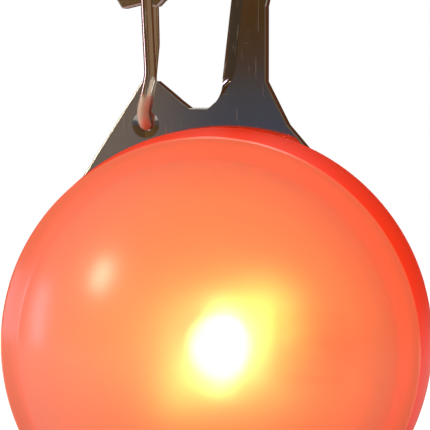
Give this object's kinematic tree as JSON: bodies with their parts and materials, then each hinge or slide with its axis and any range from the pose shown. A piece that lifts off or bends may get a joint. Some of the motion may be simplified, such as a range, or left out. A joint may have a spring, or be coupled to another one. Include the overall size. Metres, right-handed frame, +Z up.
{
  "type": "clip-on led ball light",
  "caption": "Round translucent clip-on safety light on a steel carabiner plate, with a sprung wire gate, a press-to-switch dome and a screwed battery cover.",
  "frame": {"origin": "inside top of the hook's eye, in the middle of the plate's thickness, where the light hangs", "axes": "+Z up as the light hangs, -Y out of the domed front, +Y out of the battery cover, +X towards the hook's solid spine"},
  "size_m": [0.0339, 0.0204, 0.0535],
  "materials": {
    "polished_steel": "stamped stainless plate, polished, finely scratched",
    "spring_wire": "polished stainless spring wire",
    "spring_steel": "bright spring steel",
    "screw_steel": "stainless screws",
    "orange_shell": "translucent orange polycarbonate, polished",
    "orange_cover": "orange polycarbonate, fine satin",
    "clear_frame": "clear polycarbonate",
    "white_plastic": "white moulded plastic",
    "silicone": "soft translucent silicone",
    "foam": "closed-cell foam",
    "cell_can": "nickel-plated steel can",
    "contact_metal": "sprung phosphor bronze, plated",
    "board": "green solder mask on glass-epoxy",
    "chip_black": "black moulded epoxy",
    "ceramic_chip": "tan ceramic",
    "clear_lens": "clear epoxy lens",
    "led_glow": "lit emitter"
  },
  "bodies": {
    "base": {"carabiner_plate": "polished_steel", "chassis": "white_plastic", "shell_seal": "silicone", "front_gasket": "silicone", "back_gasket": "silicone", "back_cover": "orange_cover", "cover_screws": "screw_steel", "plate_screws": "screw_steel", "board_screws": "screw_steel", "coin_cell_front": "cell_can", "coin_cell_rear": "cell_can", "cell_cushion": "foam", "negative_contact": "contact_metal", "positive_contact": "contact_metal", "circuit_board": "board", "controller_chip": "chip_black", "led_resistor": "chip_black", "capacitor": "ceramic_chip", "led_base": "white_plastic", "led_die": "led_glow", "led_lens": "clear_lens", "reflector": "white_plastic", "switch_body": "white_plastic", "switch_cover": "contact_metal", "switch_snap_dome": "contact_metal"},
    "gate": {"wire_gate": "spring_wire"},
    "press": {"lens_shell": "orange_shell", "press_frame": "clear_frame", "retaining_ring": "spring_steel"},
    "plunger": {"switch_plunger": "white_plastic"}
  },
  "joints": [
    {"name": "gate_hinge", "type": "hinge", "parent": "base", "child": "gate", "pos_m": [-0.00355, 0, -0.01625], "axis": [0, 1, 0], "range_deg": [0, 28], "stiffness_Nm_per_rad": 0.02, "springref_deg": -11.46},
    {"name": "shell_press", "type": "slide", "parent": "base", "child": "press", "axis": [0, 1, 0], "range_m": [0, 0.0005], "stiffness_N_per_m": 3000, "springref_m": -0.0004},
    {"name": "plunger_press", "type": "slide", "parent": "base", "child": "plunger", "axis": [0, 1, 0], "range_m": [0, 0.0005]}
  ],
  "couplings": [
    {"joint": "plunger_press", "follows": "shell_press", "ratio": 1}
  ]
}
